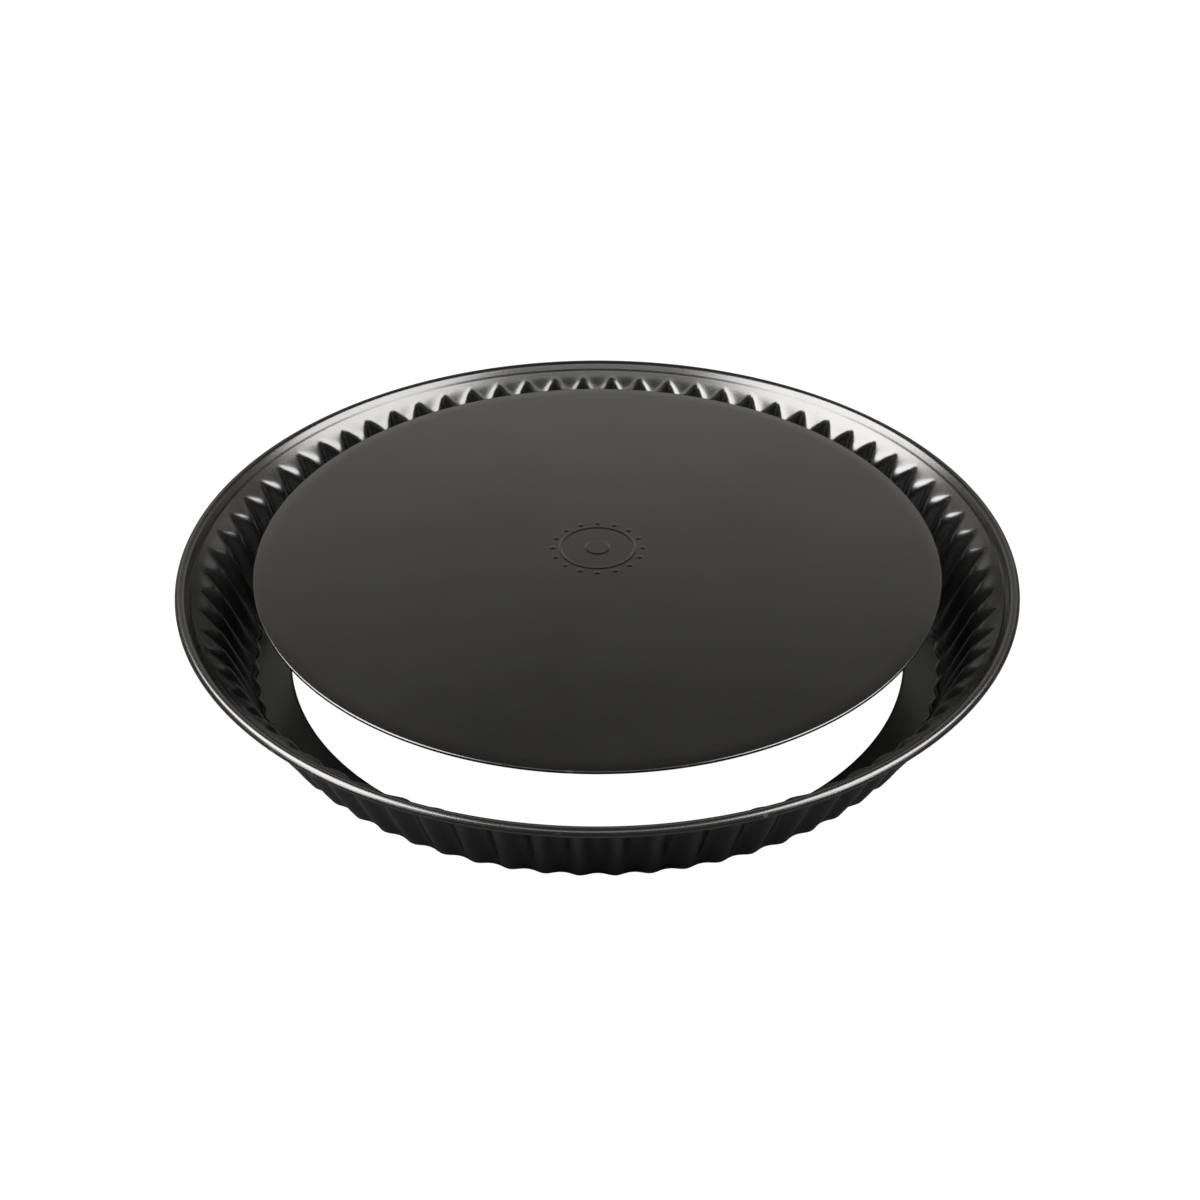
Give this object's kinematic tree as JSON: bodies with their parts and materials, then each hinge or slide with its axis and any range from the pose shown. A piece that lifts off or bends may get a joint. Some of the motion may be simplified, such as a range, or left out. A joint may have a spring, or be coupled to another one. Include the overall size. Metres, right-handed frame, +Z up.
{
  "type": "tart pan",
  "caption": "Round loose-bottomed tart pan: a fluted, flared ring with a rolled rim and an inward ledge, and a flat base that lifts out.",
  "frame": {"origin": "centre of the pan's footprint, on the surface it stands on", "axes": "+Z up, along the pan's axis of symmetry, from the ledge to the rolled rim"},
  "size_m": [0.29, 0.29, 0.0384],
  "materials": {
    "ring_coating": "semi-gloss dark non-stick coating on steel",
    "base_coating": "satin dark non-stick coating on steel"
  },
  "bodies": {
    "ring": {"fluted_ring": "ring_coating"},
    "base": {"loose_base": "base_coating"}
  },
  "joints": [
    {"name": "base_lift", "type": "slide", "parent": "ring", "child": "base", "axis": [0, 0, 1], "range_m": [-0.0362, 0.06]}
  ]
}
